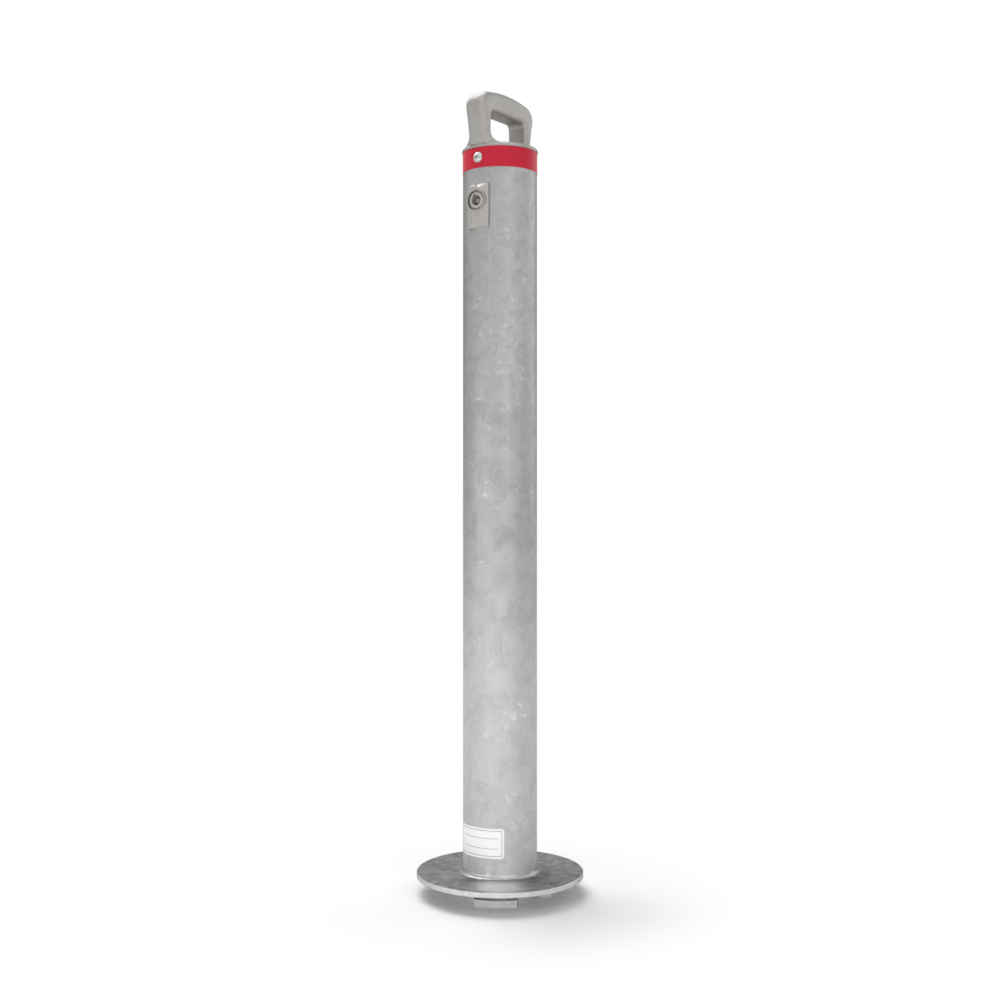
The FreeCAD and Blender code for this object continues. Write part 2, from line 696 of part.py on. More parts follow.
def key_barrel():
    """The turning barrel: an annular keyway round a post in front, a square tail for the cam behind."""
    edge, groove, post = "barrel_diameter / 2", "keyway_diameter / 2", "key_post_diameter / 2"
    floor = "barrel_front - keyway_depth"
    core = "cam_screw_size / 2 + seat_gap"
    depth = "cam_rear + seat_gap + cam_screw_length"
    shape = turned("barrel_turning", [
        (core, "cam_front"), (edge, "cam_front"), (edge, "barrel_front"), (groove, "barrel_front"),
        (groove, floor), (post, floor), (post, "barrel_front"), ("0", "barrel_front"),
        ("0", depth), (core, depth)])
    tail = cut("barrel_tail", block("barrel_square", "barrel_tail_square", "barrel_tail_square",
                                    "cam_thickness - seat_gap", z="cam_rear + seat_gap"),
               rod("barrel_tail_way", core, "cam_thickness + 2", z="cam_rear - 1"))
    return place(fuse("barrel", shape, tail), z="lock_height", turn=TO_FRONT)


def saddle_washer():
    """The washer behind the tube's wall: round to the wall in front, flat for the nut behind."""
    blank = rod("washer_blank", "saddle_washer_diameter / 2", "tube_bore", z="washer_flat")
    way = rod("washer_way", "housing_body_diameter / 2 + running_gap", "tube_bore", z="washer_flat - 1")
    drilled = cut("washer_drilled", blank, way)
    place(drilled, z="lock_height", turn=TO_FRONT)
    bore = rod("washer_limit", "tube_bore - seat_gap", "2 * saddle_washer_diameter",
               z="lock_height - saddle_washer_diameter")
    return common("washer", drilled, bore)


def lock_nut():
    """The flat nut on the lock case's thread."""
    blank = hexagon("lock_nut_blank", "lock_nut_width", "lock_nut_thickness")
    way = rod("lock_nut_way", "housing_body_diameter / 2 + seat_gap", "lock_nut_thickness + 2", z="-1")
    nut = cut("lock_nut_drilled", blank, way)
    return place(nut, y="-nut_rear", z="lock_height", turn=TO_FRONT)


def lock_cam():
    """The lifting cam. Its edge is an involute, so a flat follower over it rises evenly with the turn:
    where the edge faces a turn back of the top by t, it lies the base radius plus pitch times t away."""
    base = number("cam_base")
    pitch = number("lift_travel") / (math.pi / 2)
    nose = number("cam_nose_round")
    points = []
    for step in range(7):
        turn = math.pi / 2 * step / 6
        out = base + pitch * turn
        points.append(Vector(-out * math.sin(turn) - pitch * math.cos(turn),
                             out * math.cos(turn) - pitch * math.sin(turn), 0))
    rise = Part.BSplineCurve()
    rise.interpolate(points)
    tip = points[-1]
    bend = math.pi / 4
    middle = tip + Vector(nose * (1 - math.cos(bend)), -nose * math.sin(bend), 0)
    under = tip + Vector(nose, -nose, 0)
    edges = [rise.toShape(), Part.Arc(tip, middle, under).toShape(),
             Part.LineSegment(under, Vector(0, -base, 0)).toShape(),
             Part.Arc(Vector(0, -base, 0), Vector(base, 0, 0), Vector(0, base, 0)).toShape(),
             Part.LineSegment(Vector(0, base, 0), points[0]).toShape()]
    plate = Part.Face(Part.Wire(Part.__sortEdges__(edges)))
    blank = doc.addObject("Part::Feature", "cam_plate")
    blank.Shape = plate.extrude(Vector(0, 0, number("cam_thickness")))
    square = "barrel_tail_square + 2 * seat_gap"
    cam = cut("cam", blank, block("cam_square", square, square, "cam_thickness + 2", z="-1"))
    return place(cam, y="-cam_rear", z="lock_height", turn=TO_FRONT)


def cam_screw():
    """The low-headed screw that clamps the cam on the barrel's tail."""
    head = "cam_rear - cam_screw_head_height"
    tip = "cam_rear + cam_screw_length - seat_gap"
    shape = turned("cam_screw_turning", [
        ("0", head), ("cam_screw_head_diameter / 2", head), ("cam_screw_head_diameter / 2", "cam_rear"),
        ("cam_screw_size / 2", "cam_rear"), ("cam_screw_size / 2", tip), ("0", tip)])
    return place(shape, z="lock_height", turn=TO_FRONT)


def follower_plate():
    """The plate on top of the rod that the cam pushes up."""
    long = "follower_front - follower_rear"
    blank = block("follower_blank", "follower_width", long, "follower_thickness",
                  y="-(follower_front + follower_rear) / 2")
    hole = rod("follower_hole", "stud_diameter / 2 + seat_gap", "follower_thickness + 2",
               y="-rod_line", z="-1")
    return place(cut("follower", blank, hole), z="follower_base")


def follower_nuts():
    """The nut and the lock nut over the follower plate."""
    nuts = []
    for index in range(2):
        name = "stud_nut_%d" % (index + 1)
        blank = hexagon(name + "_blank", "stud_nut_width", "stud_nut_height")
        way = rod(name + "_way", "stud_diameter / 2 + seat_gap", "stud_nut_height + 2", z="-1")
        nut = cut(name, blank, way)
        nuts.append(place(nut, y="-rod_line", z="follower_top + %d * stud_nut_height" % index))
    return compound("nuts", *nuts)


def cross_way(name, size, height):
    """A pin's hole across the rod, along X."""
    return rod(name, "(%s) / 2 + seat_gap" % size, "4 * rod_diameter", x="-2 * rod_diameter",
               y="-rod_line", z=height, turn=TO_SIDE)


def lift_rod():
    """The long rod, shouldered and threaded on top for the follower plate, cross-drilled for two pins."""
    shape = turned("rod_turning", [
        ("0", "rod_base"), ("rod_radius", "rod_base"), ("rod_radius", "follower_base"),
        ("stud_diameter / 2", "follower_base"), ("stud_diameter / 2", "stud_top"), ("0", "stud_top")])
    place(shape, y="-rod_line")
    return cut("rod_drilled", shape, cross_way("rod_plunger_way", "plunger_pin_size", "plunger_pin_height"),
               cross_way("rod_collar_way", "collar_pin_size", "collar_base + collar_height / 2"))


def guide(name, height):
    """A disc across the tube that keeps the rod upright."""
    disc = rod(name + "_disc", "skirt_radius", "guide_thickness")
    way = rod(name + "_way", "rod_radius + running_gap", "guide_thickness + 2", y="-rod_line", z="-1")
    return place(cut(name, disc, way), z=height)


def return_spring():
    """The coil spring between the rod's collar and the upper guide."""
    helix = doc.addObject("Part::Helix", "spring_line")
    bind(helix, Pitch="(spring_length - spring_wire) / spring_turns", Height="spring_length - spring_wire",
         Radius="(spring_diameter - spring_wire) / 2")
    wire = doc.addObject("Part::Circle", "spring_section")
    place(bind(wire, Radius="spring_wire / 2"), x="(spring_diameter - spring_wire) / 2",
          turn=TO_FRONT)
    coil = doc.addObject("Part::Sweep", "spring_coil")
    coil.Sections = [wire]
    coil.Spine = (helix, [])
    coil.Solid = True
    coil.Frenet = True
    return place(coil, y="-rod_line", z="collar_top + spring_wire / 2")


def spring_collar():
    """The collar pinned on the rod under the spring."""
    ring = sleeve("collar_ring", "collar_diameter / 2", "rod_radius + seat_gap", "collar_height",
                  y="-rod_line", z="collar_base")
    return cut("collar", ring, cross_way("collar_way", "collar_pin_size", "collar_base + collar_height / 2"))


def cross_pin(name, size, length, height):
    """A plain pin along X through the rod and what it holds."""
    return rod(name, "(%s) / 2" % size, length, x="-(%s) / 2" % length, y="-rod_line", z=height,
               turn=TO_SIDE)


def locking_plunger():
    """The plunger: a bevelled nose in the bush, a head that stops on it and a socket for the rod."""
    edge, head, socket = "plunger_radius", "plunger_head_diameter / 2", "rod_radius + seat_gap"
    shape = turned("plunger_turning", [
        ("0", "plunger_clearance"), (edge + " - plunger_bevel", "plunger_clearance"),
        (edge, "plunger_clearance + plunger_bevel"), (edge, "bush_top"), (head, "bush_top"),
        (head, "plunger_top"), (socket, "plunger_top"), (socket, "rod_base"), ("0", "rod_base")])
    place(shape, y="-rod_line")
    return cut("plunger", shape, cross_way("plunger_way", "plunger_pin_size", "plunger_pin_height"))


def plunger_bush():
    """The collared bush in the flange."""
    wall, collar = "bush_radius", "bush_collar_diameter / 2"
    shape = turned("bush_turning", [
        ("bush_bore", "bush_base"), (wall, "bush_base"), (wall, "flange_top"), (collar, "flange_top"),
        (collar, "bush_top"), ("bush_bore", "bush_top")])
    return place(shape, y="-rod_line")


subpart(bollard_tube(), "bollard_tube")
subpart(base_flange(), "base_flange")
subpart(foot_weld_bead(), "foot_weld_bead")
subpart(spigot_ring(), "spigot_ring")
subpart(bayonet_ring(), "bayonet_ring")
subpart(handle_cap(), "handle_cap")
subpart(reflective_band(), "reflective_band")
subpart(cap_screw("front_screw", "-tape_radius", TO_FRONT), "cap_screw_front")
subpart(cap_screw("rear_screw", "tape_radius", TO_REAR), "cap_screw_rear")
subpart(foot_label(), "foot_label")
subpart(lock_escutcheon(), "lock_escutcheon")
subpart(plate_screw(), "escutcheon_screw")
subpart(lock_housing(), "lock_housing")
subpart(key_barrel(), "key_barrel")
subpart(saddle_washer(), "saddle_washer")
subpart(lock_nut(), "lock_nut")
subpart(lock_cam(), "lock_cam")
subpart(cam_screw(), "cam_screw")
subpart(follower_plate(), "follower_plate")
subpart(follower_nuts(), "follower_nuts")
subpart(lift_rod(), "lift_rod")
subpart(guide("guide_above", "upper_guide_base"), "upper_guide")
subpart(guide("guide_below", "lower_guide_base"), "lower_guide")
subpart(return_spring(), "return_spring")
subpart(spring_collar(), "spring_collar")
subpart(cross_pin("collar_pin_blank", "collar_pin_size", "collar_diameter",
                  "collar_base + collar_height / 2"), "collar_pin")
subpart(locking_plunger(), "locking_plunger")
subpart(cross_pin("plunger_pin_blank", "plunger_pin_size", "plunger_head_diameter",
                  "plunger_pin_height"), "plunger_pin")
subpart(plunger_bush(), "plunger_bush")

doc.recompute()
for thing in doc.Objects:
    if "Invalid" in thing.State or "Error" in thing.State:
        raise RuntimeError("%s did not build: %s" % (thing.Name, thing.State))
for thing in SUBPARTS:
    if thing.Shape.isNull() or not thing.Shape.isValid():
        raise RuntimeError("%s has no sound shape" % thing.Label)
os.makedirs("parts", exist_ok=True)
for thing in SUBPARTS:
    thing.Shape.exportStep("parts/%s.step" % thing.Label)
    print(thing.Label, len(thing.Shape.Solids), round(thing.Shape.Volume, 1))
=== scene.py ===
import math

import bmesh
import bpy
import numpy as np
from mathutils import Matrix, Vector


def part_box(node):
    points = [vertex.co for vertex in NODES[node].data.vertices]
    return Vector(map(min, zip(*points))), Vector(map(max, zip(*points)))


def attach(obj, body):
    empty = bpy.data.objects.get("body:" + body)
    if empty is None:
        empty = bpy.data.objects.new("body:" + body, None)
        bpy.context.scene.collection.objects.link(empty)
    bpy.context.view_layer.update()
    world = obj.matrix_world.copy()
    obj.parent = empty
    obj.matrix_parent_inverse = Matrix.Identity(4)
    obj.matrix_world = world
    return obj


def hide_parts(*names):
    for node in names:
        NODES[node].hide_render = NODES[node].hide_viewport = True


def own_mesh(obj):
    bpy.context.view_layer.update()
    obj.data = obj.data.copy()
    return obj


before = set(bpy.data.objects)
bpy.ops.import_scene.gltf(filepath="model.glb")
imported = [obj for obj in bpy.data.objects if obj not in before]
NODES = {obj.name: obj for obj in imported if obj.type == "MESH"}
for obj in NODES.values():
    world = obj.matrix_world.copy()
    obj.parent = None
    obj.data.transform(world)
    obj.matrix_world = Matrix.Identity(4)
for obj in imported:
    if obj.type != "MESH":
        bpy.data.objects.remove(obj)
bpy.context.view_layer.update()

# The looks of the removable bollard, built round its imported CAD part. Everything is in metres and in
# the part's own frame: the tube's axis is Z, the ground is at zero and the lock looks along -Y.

# The camera stands level, a little below the post's middle, round from the lock towards +X.
CAMERA_TURN = math.radians(35.5)
CAMERA_DISTANCE = 1.669
CAMERA_HEIGHT = 0.4715
LENS_MM = 50
SENSOR_MM = 36

# Sizes that the new pieces share with the part.
TUBE_RADIUS = 0.04445
TUBE_TOP = 0.8866
SKIN_RADIUS = 0.0445
RIM_RADIUS = 0.0455
RIM_TOP = 0.8909
SKIRT_RADIUS = 0.0402
SKIRT_BORE = 0.0357
SKIRT_DEPTH = 0.028
HANDLE_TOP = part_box("handle_cap")[1][2]
HANDLE_HALF_LENGTH = 0.0562
HANDLE_THICKNESS = 0.028
CROWN_RADIUS = 0.198
SHOULDER_ROUND = 0.0165
FINGER_GAP_TOP = 0.9294
FINGER_GAP_HALF = 0.0344
FINGER_GAP_CORNER = 0.006
FLANGE_TOP = 0.027
WELD_LEG = 0.005
LABEL_HALF_WIDTH = 0.0325
LABEL_FOOT = 0.0516
LABEL_TOP = 0.0866
SPRING_TOP = 0.740
SPRING_LENGTH = 0.070
SPRING_WIRE_RADIUS = 0.001
SPRING_COIL_RADIUS = 0.0075

# Rounds of the casting, finer than in the part: its rim, the loop's edges outside and inside the finger
# gap, each with its largest share of the loop's width, and the hollow roots of the legs.
RIM_ROUND = 0.0018
OUTER_ROUND, OUTER_SHARE = 0.008, 0.56
INNER_ROUND, INNER_SHARE = 0.006, 0.42
ROOT_ROUND = 0.0145

# Where on the flange, in front of the post towards the camera, a pale patch is painted as the post's
# reflection, and the heights between which the post's zinc gets less shiny towards its foot and its colour
# is painted lighter, as painted light.
PAINTED_REFLECTION_PLACE = (0.042, -0.058)
PALE_BELOW = 0.22
PLAIN_ABOVE = 0.47
SHINY_ABOVE = 0.72

# Sockets of the colour Mix node, whose names repeat.
MIX_FIRST = 6
MIX_SECOND = 7
MIX_RESULT = 2


class Finish:
    """A material, with a short call for each kind of node that its finish needs."""

    def __init__(self, name):
        self.material = bpy.data.materials.new(name)
        self.material.use_nodes = True
        self.tree = self.material.node_tree
        self.shader = self.tree.nodes["Principled BSDF"]
        self.place = self.add("ShaderNodeTexCoord").outputs["Object"]

    def add(self, kind, **settings):
        """A new node with its settings."""
        node = self.tree.nodes.new(kind)
        for setting, value in settings.items():
            setattr(node, setting, value)
        return node

    def feed(self, socket, value):
        """Joins a socket to another node's output, or sets it to a plain value."""
        if isinstance(value, bpy.types.NodeSocket):
            self.tree.links.new(value, socket)
        else:
            socket.default_value = value

    def stretched(self, x, y, z, place=None):
        """The place with each axis scaled."""
        node = self.add("ShaderNodeMapping")
        self.feed(node.inputs["Vector"], place or self.place)
        node.inputs["Scale"].default_value = (x, y, z)
        return node.outputs["Vector"]

    def noise(self, scale, detail=2.0, roughness=0.5, distortion=0.0, place=None):
        """Cloudy noise from 0 to 1, so many clouds to the metre."""
        node = self.add("ShaderNodeTexNoise")
        self.feed(node.inputs["Vector"], place or self.place)
        node.inputs["Scale"].default_value = scale
        node.inputs["Detail"].default_value = detail
        node.inputs["Roughness"].default_value = roughness
        node.inputs["Distortion"].default_value = distortion
        return node.outputs["Fac"]

    def cells(self, scale, place):
        """The distance from the middle of even cells, so many to the metre."""
        node = self.add("ShaderNodeTexVoronoi", feature="F1")
        self.feed(node.inputs["Vector"], place)
        node.inputs["Scale"].default_value = scale
        node.inputs["Randomness"].default_value = 0.0
        return node.outputs["Distance"]

    def step(self, value, low, high, start=0.0, end=1.0):
        """A smooth step of a value between two limits."""
        node = self.add("ShaderNodeMapRange", interpolation_type="SMOOTHSTEP")
        self.feed(node.inputs["Value"], value)
        node.inputs["From Min"].default_value = low
        node.inputs["From Max"].default_value = high
        node.inputs["To Min"].default_value = start
        node.inputs["To Max"].default_value = end
        return node.outputs["Result"]

    def sum(self, operation, first, second=0.0):
        """One arithmetic step."""
        node = self.add("ShaderNodeMath", operation=operation)
        self.feed(node.inputs[0], first)
        self.feed(node.inputs[1], second)
        return node.outputs[0]

    def blend(self, share, first, second, kind="MIX"):
        """A share of the second colour over the first."""
        node = self.add("ShaderNodeMix", data_type="RGBA", blend_type=kind)
        self.feed(node.inputs[0], share)
        self.feed(node.inputs[MIX_FIRST], first)
        self.feed(node.inputs[MIX_SECOND], second)
        return node.outputs[MIX_RESULT]

    def parts(self, place=None):
        """The three numbers of a place."""
        node = self.add("ShaderNodeSeparateXYZ")
        self.feed(node.inputs[0], place or self.place)
        return node.outputs

    def round_tube(self, radius):
        """The way round the tube from its front, in metres at that radius."""
        x, y, _ = self.parts()
        turn = self.sum("ARCTAN2", x, self.sum("MULTIPLY", y, -1.0))
        return self.sum("MULTIPLY", turn, radius)

    def away_from(self, x, y):
        """The level distance from the upright line at that x and y."""
        here_x, here_y, _ = self.parts()
        across = self.sum("SUBTRACT", here_x, x)
        ahead = self.sum("SUBTRACT", here_y, y)
        return self.sum("SQRT", self.sum("ADD", self.sum("MULTIPLY", across, across),
                                         self.sum("MULTIPLY", ahead, ahead)))

    def relief(self, height, depth, strength=1.0, under=None):
        """A bump of that depth in metres, over another one."""
        node = self.add("ShaderNodeBump")
        node.inputs["Strength"].default_value = strength
        node.inputs["Distance"].default_value = depth
        self.feed(node.inputs["Height"], height)
        if under is not None:
            self.feed(node.inputs["Normal"], under)
        return node.outputs["Normal"]

    def surface(self, color, roughness, metallic=0.0, normal=None, **constants):
        """Sets the shader: colour, roughness, metal and bump may be patterns, and all else is constant."""
        self.feed(self.shader.inputs["Base Color"], color)
        self.feed(self.shader.inputs["Roughness"], roughness)
        self.feed(self.shader.inputs["Metallic"], metallic)
        if normal is not None:
            self.feed(self.shader.inputs["Normal"], normal)
        for socket, value in constants.items():
            self.shader.inputs[socket.replace("_", " ")].default_value = value
        return self.material


def grey(level, warmth=0.0):
    """A grey, a little warm or cool."""
    return (level * (1 + warmth), level, level * (1 - warmth), 1.0)


def galvanised(name, level, contrast=1.0, streaks=1.0, tint=0.12, painted_foot_light=1.0, painted_shade_and_reflection=0.0, gloss=0.0):
    """Dull hot-dip zinc: soft clouds, faint runs down the piece, pale flecks that gather in places, fine
    scratches and a fine grain. With a foot factor over 1, the post's colour is made lighter towards its
    foot, which is painted light, and the foot gets less shiny.
    With top shade and reflection set, faces that look up get a mottled darker stain, which is painted shade,
    apart from a pale patch at one place, which is a painted reflection of the post."""
    zinc = Finish(name)
    height = zinc.parts()[2]
    pale = grey(min(level * 1.7, 0.85))
    clouds = zinc.noise(13, 3, 0.55, 0.6)
    patches = zinc.noise(46, 4, 0.6, 0.8)
    runs = zinc.noise(120, 2, 0.5, place=zinc.stretched(1, 1, 0.06))
    tone = zinc.blend(zinc.step(clouds, 0.3, 0.7), grey(level * (1 - 0.05 * contrast)),
                      grey(level * (1 + 0.04 * contrast)))
    tone = zinc.blend(zinc.step(patches, 0.35, 0.72, 0, 0.55 * contrast), tone, grey(level * 1.16))
    tone = zinc.blend(zinc.step(patches, 0.5, 0.25, 0, 0.35 * contrast), tone, grey(level * 0.78))
    tone = zinc.blend(zinc.step(runs, 0.52, 0.75, 0, 0.35 * streaks), tone, grey(level * 1.22))
    gather = zinc.step(zinc.noise(26, 2, 0.5), 0.46, 0.68)
    flecks = zinc.sum("MULTIPLY", zinc.step(zinc.noise(150, 3, 0.6, 0.8), 0.54, 0.72), gather)
    tone = zinc.blend(zinc.sum("MULTIPLY", flecks, 0.75), tone, pale)
    scratches = zinc.step(zinc.noise(210, 2, 0.5, 1.2), 0.66, 0.74)
    tone = zinc.blend(zinc.sum("MULTIPLY", scratches, 0.4), tone, pale)
    grain = zinc.noise(1500, 2, 0.6)
    tone = zinc.blend(0.10, tone, zinc.blend(grain, grey(level * 0.6), grey(level * 1.4)))
    shine = 0.6
    if painted_foot_light > 1:
        # Painted light: the colour turns lighter towards the post's foot, standing in for the light there.
        low = zinc.step(height, PALE_BELOW, PLAIN_ABOVE, 1.0, 0.0)
        tone = zinc.blend(low, tone, zinc.blend(1.0, tone, grey(painted_foot_light), "MULTIPLY"))
        shine = zinc.step(height, PALE_BELOW, SHINY_ABOVE, 0.15, 0.78)
    if painted_shade_and_reflection:
        # Painted shade: faces that look up get a mottled darker stain, kept off a patch in front of the
        # post.
        upward = zinc.parts(zinc.add("ShaderNodeNewGeometry").outputs["Normal"])[2]
        facing_up = zinc.step(upward, 0.6, 0.95)
        from_painted_reflection = zinc.sum("ADD", zinc.away_from(*PAINTED_REFLECTION_PLACE), zinc.sum("MULTIPLY", patches, 0.03))
        painted_shade_share = zinc.step(from_painted_reflection, 0.020, 0.058, 0.2, painted_shade_and_reflection)
        stain = zinc.blend(zinc.step(zinc.noise(90, 6, 0.70, 0.3), 0.30, 0.72), grey(0.33), grey(0.53))
        tone = zinc.blend(zinc.sum("MULTIPLY", facing_up, painted_shade_share), tone,
                          zinc.blend(1.0, tone, stain, "MULTIPLY"))
        # Painted reflection: a pale patch on the flange in front of the post, towards the camera, where the
        # post's reflection would show.
        painted_reflection = zinc.step(from_painted_reflection, 0.012, 0.060, 0.8, 0.0)
        tone = zinc.blend(zinc.sum("MULTIPLY", facing_up, painted_reflection), tone, grey(0.88))
    rough = zinc.step(patches, 0.3, 0.7, 0.50 - gloss, 0.40 - gloss)
    lumps = zinc.relief(zinc.noise(260, 3, 0.55), 0.0004, 0.35)
    fine = zinc.relief(grain, 0.00006, 0.5, lumps)
    return zinc.surface(tone, rough, shine, fine, Specular_Tint=(tint, tint, tint, 1.0))


def cast_metal(name, level, warmth, roughness=0.42, grain_depth=0.00008):
    """Satin fettled casting: fine sandy grain and faint grinding marks."""
    cast = Finish(name)
    clouds = cast.noise(30, 3, 0.55)
    sand = cast.noise(1900, 3, 0.65)
    marks = cast.noise(420, 2, 0.5, place=cast.stretched(1, 1, 0.12))
    tone = cast.blend(cast.step(clouds, 0.3, 0.7), grey(level * 0.94, warmth), grey(level * 1.05, warmth))
    tone = cast.blend(cast.step(sand, 0.42, 0.7, 0, 0.16), tone, grey(level * 1.35, warmth))
    tone = cast.blend(cast.step(sand, 0.46, 0.26, 0, 0.22), tone, grey(level * 0.6, warmth))
    tone = cast.blend(cast.step(marks, 0.55, 0.7, 0, 0.12), tone, grey(level * 1.25, warmth))
    rough = cast.step(marks, 0.3, 0.7, roughness + 0.05, roughness - 0.05)
    swell = cast.relief(cast.noise(120, 2, 0.5), 0.0003, 0.3)
    fine = cast.relief(sand, grain_depth, 0.5, swell)
    return cast.surface(tone, rough, 0.55, fine, Specular_Tint=(0.15, 0.15, 0.15, 1.0))


def red_film():
    """Red reflective tape: fine rows of tiny prisms under a smooth clear face."""
    film = Finish("red_reflective_tape")
    unrolled = film.add("ShaderNodeCombineXYZ")
    film.feed(unrolled.inputs[0], film.round_tube(TUBE_RADIUS))
    film.feed(unrolled.inputs[1], film.parts()[2])
    flat = unrolled.outputs[0]
    prisms = film.cells(620, flat)
    rows = film.noise(260, 1, 0.5, place=film.stretched(0.05, 1, 1, flat))
    soft = film.noise(35, 2, 0.5)
    tone = film.blend(film.step(prisms, 0.1, 0.6), (0.70, 0.036, 0.068, 1), (0.60, 0.028, 0.054, 1))
    tone = film.blend(film.step(rows, 0.5, 0.7, 0, 0.25), tone, (0.72, 0.042, 0.074, 1))
    tone = film.blend(film.step(soft, 0.4, 0.7, 0, 0.15), tone, (0.50, 0.03, 0.05, 1))
    bump = film.relief(prisms, 0.00004, 0.3)
    return film.surface(tone, 0.42, 0.0, bump, Specular_IOR_Level=0.08)


def label_film():
    """A blank white label with a thin printed frame and two thin rules, and no words."""
    film = Finish("white_label_film")
    height = film.parts()[2]
    across = film.round_tube(SKIN_RADIUS + 0.0001)
    fibre = film.noise(700, 2, 0.5)
    paper = film.blend(film.step(fibre, 0.3, 0.7), (0.92, 0.92, 0.915, 1), (0.95, 0.95, 0.945, 1))
    from_side = film.sum("SUBTRACT", LABEL_HALF_WIDTH, film.sum("ABSOLUTE", across))
    from_end = film.sum("MINIMUM", film.sum("SUBTRACT", height, LABEL_FOOT),
                        film.sum("SUBTRACT", LABEL_TOP, height))
    edge = film.sum("MINIMUM", from_side, from_end)
    line = film.sum("MULTIPLY", film.step(edge, 0.00235, 0.0025), film.step(edge, 0.0031, 0.00295))
    inside = film.step(from_side, 0.0070, 0.0072)
    for rule_height in (0.0629, 0.0749):
        away = film.sum("ABSOLUTE", film.sum("SUBTRACT", height, rule_height))
        line = film.sum("MAXIMUM", line, film.sum("MULTIPLY", film.step(away, 0.00030, 0.00018), inside))
    ink = film.blend(film.sum("MULTIPLY", line, 0.85), paper, (0.10, 0.10, 0.105, 1))
    return film.surface(ink, 0.35, 0.0, film.relief(fibre, 0.00003, 0.2), Specular_IOR_Level=0.4)


def turned_metal(name, level, roughness, metallic=0.85, warmth=0.0):
    """Machined or drawn metal: fine rings along its length under a film of oil."""
    metal = Finish(name)
    lines = metal.noise(900, 2, 0.5, place=metal.stretched(0.04, 0.04, 1))
    stain = metal.noise(60, 3, 0.6)
    tone = metal.blend(metal.step(lines, 0.3, 0.7), grey(level * 0.9, warmth), grey(level * 1.08, warmth))
    tone = metal.blend(metal.step(stain, 0.5, 0.72, 0, 0.3), tone, grey(level * 0.72, warmth + 0.02))
    rough = metal.step(stain, 0.3, 0.7, roughness - 0.05, roughness + 0.06)
    return metal.surface(tone, rough, metallic, metal.relief(lines, 0.00004, 0.35))


def bright_zinc():
    """Zinc plated screws and nuts: bright, faintly clouded, with worn edges."""
    zinc = Finish("bright_zinc_plate")
    clouds = zinc.noise(180, 3, 0.6)
    tone = zinc.blend(zinc.step(clouds, 0.3, 0.7), grey(0.34, 0.01), grey(0.46, 0.0))
    edge = zinc.add("ShaderNodeNewGeometry").outputs["Pointiness"]
    tone = zinc.blend(zinc.step(edge, 0.56, 0.66, 0, 0.3), tone, grey(0.7))
    return zinc.surface(tone, zinc.step(clouds, 0.3, 0.7, 0.26, 0.36), 0.85,
                        zinc.relief(clouds, 0.00008, 0.3))


def moulded_plastic():
    """Black moulded guide plastic with a fine matt skin."""
    plastic = Finish("black_guide_plastic")
    skin = plastic.noise(1400, 3, 0.6)
    tone = plastic.blend(skin, (0.022, 0.022, 0.023, 1), (0.038, 0.038, 0.04, 1))
    return plastic.surface(tone, plastic.step(skin, 0.3, 0.7, 0.45, 0.6), 0.0,
                           plastic.relief(skin, 0.00005, 0.4))


def dress(material, *names):
    """Puts a material in every slot of CAD nodes or new pieces."""
    for name in names:
        piece = NODES[name] if isinstance(name, str) else name
        if not piece.material_slots:
            piece.data.materials.append(material)
        for slot in piece.material_slots:
            slot.material = material


def surface_piece(name, points, closed=False):
    """A mesh from a grid of points, (along, round, 3). Each row closes on itself, and a closed grid's last
    row joins its first, while the ends of any other are each closed with one face. Where the faces
    look inwards, they are turned round."""
    rows, columns = points.shape[:2]
    row, column = np.meshgrid(np.arange(rows if closed else rows - 1), np.arange(columns), indexing="ij")
    after, beside = (row + 1) % rows, (column + 1) % columns
    quads = np.stack([row * columns + column, row * columns + beside, after * columns + beside,
                      after * columns + column], axis=-1).reshape(-1, 4)
    faces = [tuple(int(i) for i in quad) for quad in quads]
    if not closed:
        faces.append(tuple(range(columns - 1, -1, -1)))
        faces.append(tuple((rows - 1) * columns + i for i in range(columns)))
    mesh = bpy.data.meshes.new(name)
    mesh.from_pydata(points.reshape(-1, 3).tolist(), [], faces)
    mesh.update()
    shell = bmesh.new()
    shell.from_mesh(mesh)
    if shell.calc_volume(signed=True) < 0:
        mesh.flip_normals()
    shell.free()
    piece = bpy.data.objects.new(name, mesh)
    bpy.context.scene.collection.objects.link(piece)
    return piece


def smooth(piece):
    """Shades every face smoothly."""
    piece.data.polygons.foreach_set("use_smooth", np.ones(len(piece.data.polygons), bool))
    return piece


def arc(centre, radius, start, end, count):
    """Points along an arc in the plane of Y and Z, between two angles from Y towards Z."""
    angle = np.linspace(start, end, count)
    return np.stack([centre[0] + radius * np.cos(angle), centre[1] + radius * np.sin(angle)], axis=-1)


def straight(start, end, count, ease=1.0):
    """Points along a straight line, closer to its start when the ease is over 1."""
    share = np.linspace(0, 1, count)[:, None] ** ease
    return np.array(start) * (1 - share) + np.array(end) * share


def along(line, count):
    """Points evenly spaced along a line of many points."""
    gone = np.concatenate([[0], np.cumsum(np.linalg.norm(np.diff(line, axis=0), axis=1))])
    where = np.linspace(0, gone[-1], count)
    return np.stack([np.interp(where, gone, line[:, axis]) for axis in range(2)], axis=-1)


